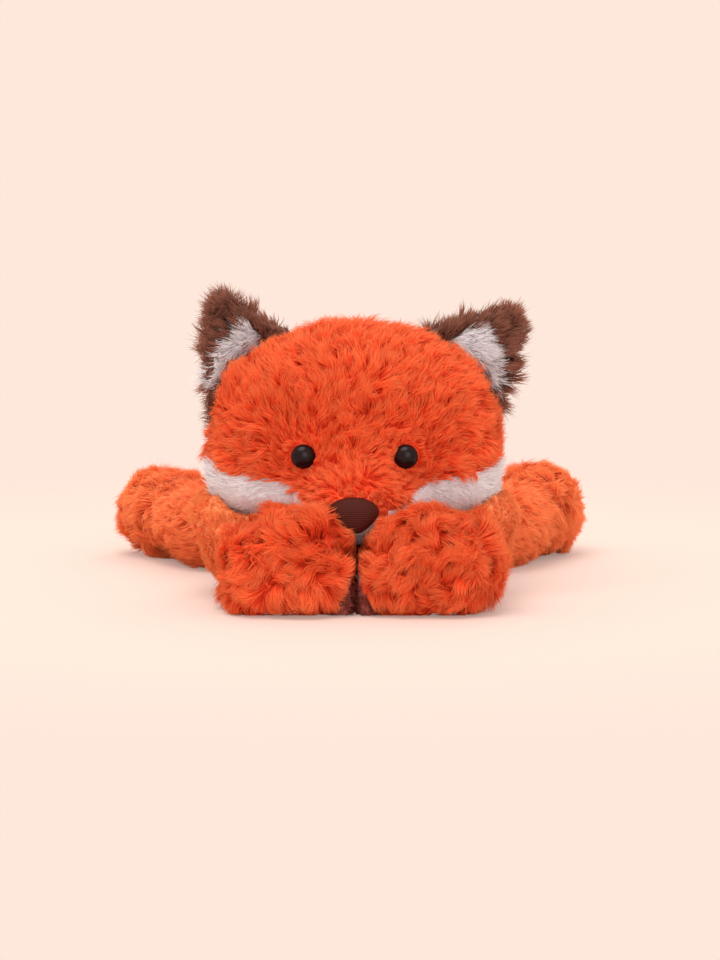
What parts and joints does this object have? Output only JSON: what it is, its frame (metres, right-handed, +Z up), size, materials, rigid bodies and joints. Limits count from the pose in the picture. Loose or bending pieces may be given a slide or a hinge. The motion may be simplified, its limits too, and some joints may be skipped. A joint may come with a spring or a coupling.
{
  "type": "plush toy",
  "caption": "Lying plush fox with a round stuffed head, pointed ears, splayed hind legs, soft front paws and a bushy tail.",
  "frame": {"origin": "middle of the flat of the belly, on the surface that the toy lies on", "axes": "+Z up, -Y the way the face looks, +X the fox's own left side"},
  "size_m": [0.2618, 0.39, 0.1521],
  "materials": {
    "orange_plush": "long curly pile",
    "short_orange_plush": "clipped pile",
    "foot_plush": "long pile",
    "white_plush": "medium pile",
    "brown_plush": "shaggy pile",
    "sole_plush": "short pile",
    "nose_fabric": "smooth woven",
    "stuffing": "loose polyester fibre",
    "pellet_bag": "plain woven bag of pellets",
    "eye_plastic": "polished dome",
    "washer_plastic": "moulded"
  },
  "bodies": {
    "body": {"body_cover": "orange_plush", "belly_panel": "white_plush", "body_stuffing": "stuffing", "pellet_pouch": "pellet_bag"},
    "head": {"head_cover": "orange_plush", "cheek_left": "white_plush", "cheek_right": "white_plush", "muzzle_cover": "orange_plush", "chin_panel": "white_plush", "nose": "nose_fabric", "eye_left": "eye_plastic", "eye_right": "eye_plastic", "eye_washer_left": "washer_plastic", "eye_washer_right": "washer_plastic", "head_stuffing": "stuffing"},
    "ear_left": {"ear_back_left": "brown_plush", "ear_lining_left": "white_plush"},
    "ear_right": {"ear_back_right": "brown_plush", "ear_lining_right": "white_plush"},
    "front_leg_left": {"sleeve_left": "short_orange_plush", "paw_left": "orange_plush", "paw_sole_left": "sole_plush", "front_leg_stuffing_left": "stuffing"},
    "front_leg_right": {"sleeve_right": "short_orange_plush", "paw_right": "orange_plush", "paw_sole_right": "sole_plush", "front_leg_stuffing_right": "stuffing"},
    "hind_leg_left": {"thigh_left": "short_orange_plush", "foot_left": "foot_plush", "foot_sole_left": "sole_plush", "hind_leg_stuffing_left": "stuffing"},
    "hind_leg_right": {"thigh_right": "short_orange_plush", "foot_right": "foot_plush", "foot_sole_right": "sole_plush", "hind_leg_stuffing_right": "stuffing"},
    "tail": {"tail_cover": "orange_plush", "tail_tip": "white_plush", "tail_stuffing": "stuffing"}
  },
  "joints": [
    {"name": "head_nod", "type": "hinge", "parent": "body", "child": "head", "pos_m": [0, -0.06, 0.062], "axis": [-1, 0, 0], "range_deg": [0, 20], "stiffness_Nm_per_rad": 0.15},
    {"name": "ear_left_fold", "type": "hinge", "parent": "head", "child": "ear_left", "pos_m": [0.0535, -0.086, 0.1015], "axis": [0.3312, 0, -0.9436], "range_deg": [-20, 20], "stiffness_Nm_per_rad": 0.02},
    {"name": "ear_right_fold", "type": "hinge", "parent": "head", "child": "ear_right", "pos_m": [-0.0535, -0.086, 0.1015], "axis": [0.6065, 0, 0.795], "range_deg": [-20, 20], "stiffness_Nm_per_rad": 0.02},
    {"name": "front_leg_left_swing", "type": "hinge", "parent": "body", "child": "front_leg_left", "pos_m": [0.038, -0.045, 0.029], "axis": [0, 0, 1], "range_deg": [0, 30], "stiffness_Nm_per_rad": 0.06},
    {"name": "front_leg_right_swing", "type": "hinge", "parent": "body", "child": "front_leg_right", "pos_m": [-0.038, -0.045, 0.029], "axis": [0, 0, -1], "range_deg": [0, 30], "stiffness_Nm_per_rad": 0.06},
    {"name": "hind_leg_left_swing", "type": "hinge", "parent": "body", "child": "hind_leg_left", "pos_m": [0.043, -0.014, 0.0228], "axis": [0, 0, -1], "range_deg": [-8, 18], "stiffness_Nm_per_rad": 0.06},
    {"name": "hind_leg_right_swing", "type": "hinge", "parent": "body", "child": "hind_leg_right", "pos_m": [-0.043, -0.014, 0.0228], "axis": [0, 0, 1], "range_deg": [-8, 18], "stiffness_Nm_per_rad": 0.06},
    {"name": "tail_swing", "type": "hinge", "parent": "body", "child": "tail", "pos_m": [0, 0.072, 0.031], "axis": [0, 0, 1], "range_deg": [-30, 30], "stiffness_Nm_per_rad": 0.04}
  ]
}
